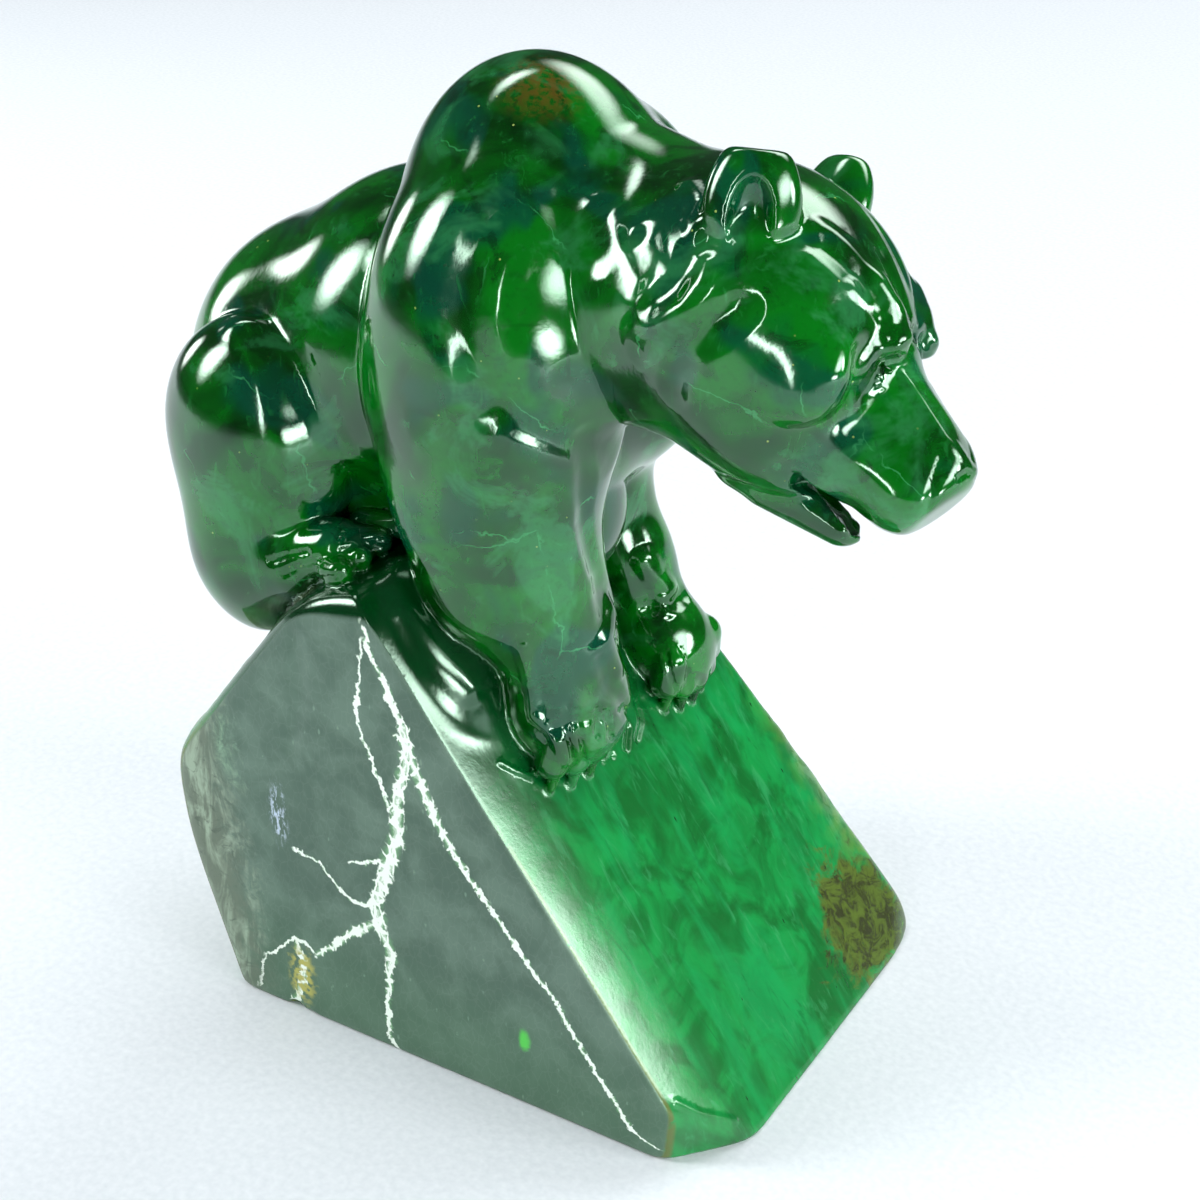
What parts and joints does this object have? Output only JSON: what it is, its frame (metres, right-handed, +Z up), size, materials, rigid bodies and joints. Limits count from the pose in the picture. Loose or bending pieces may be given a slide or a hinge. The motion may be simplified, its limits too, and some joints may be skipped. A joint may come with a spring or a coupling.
{
  "type": "jade bear sculpture",
  "caption": "Polished green jade carving of a bear standing over the crest of a sawn, sloping block of the same stone, head turned down to one side.",
  "frame": {"origin": "on the flat underside of the stone, under the bear's middle plane and halfway between heel and toe of the wedge", "axes": "+X down the slope, the way the bear looks; +Y the bear's left, away from the sawn veined side; +Z up, square to the underside"},
  "size_m": [0.1552, 0.0841, 0.1779],
  "materials": {
    "jade": "polished deep green nephrite, satin on the slope and matt on the sawn side"
  },
  "bodies": {
    "root": {"jade_bear_carving": "jade"}
  },
  "joints": []
}
